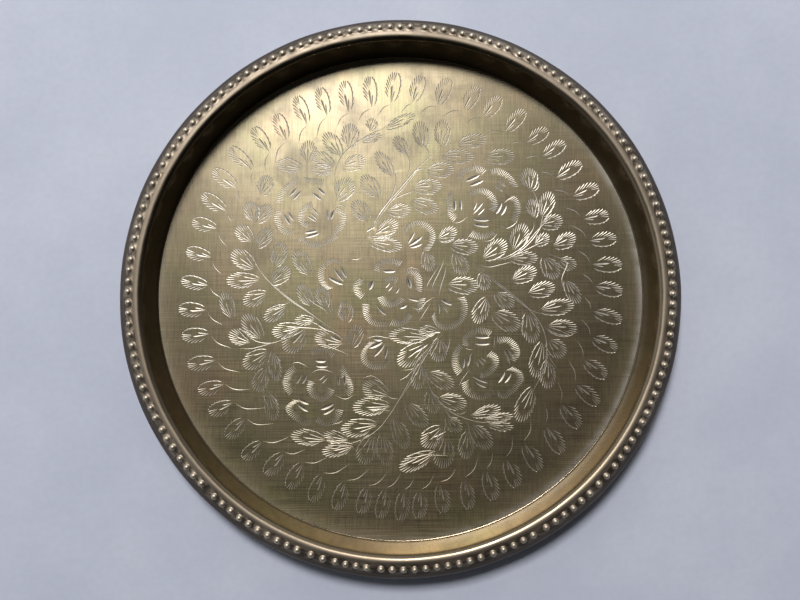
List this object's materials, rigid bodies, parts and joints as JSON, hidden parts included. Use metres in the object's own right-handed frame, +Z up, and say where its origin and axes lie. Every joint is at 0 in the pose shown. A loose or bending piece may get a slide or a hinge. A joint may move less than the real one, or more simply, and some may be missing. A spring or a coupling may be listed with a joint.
{
  "type": "serving tray",
  "caption": "Round brass serving tray with a flat chased floor, a steep wall, a beaded sloping flange and a wired edge.",
  "frame": {"origin": "centre of the flat underside, on the surface that the tray rests on", "axes": "+Z up out of the dish, along the tray's axis of revolution; +X and +Y across the dish"},
  "size_m": [0.3, 0.3, 0.0211],
  "materials": {
    "pan_brass": "aged, brushed, chased",
    "wire_brass": "dull drawn wire"
  },
  "bodies": {
    "root": {"tray_pan": "pan_brass", "rim_wire": "wire_brass"}
  },
  "joints": []
}
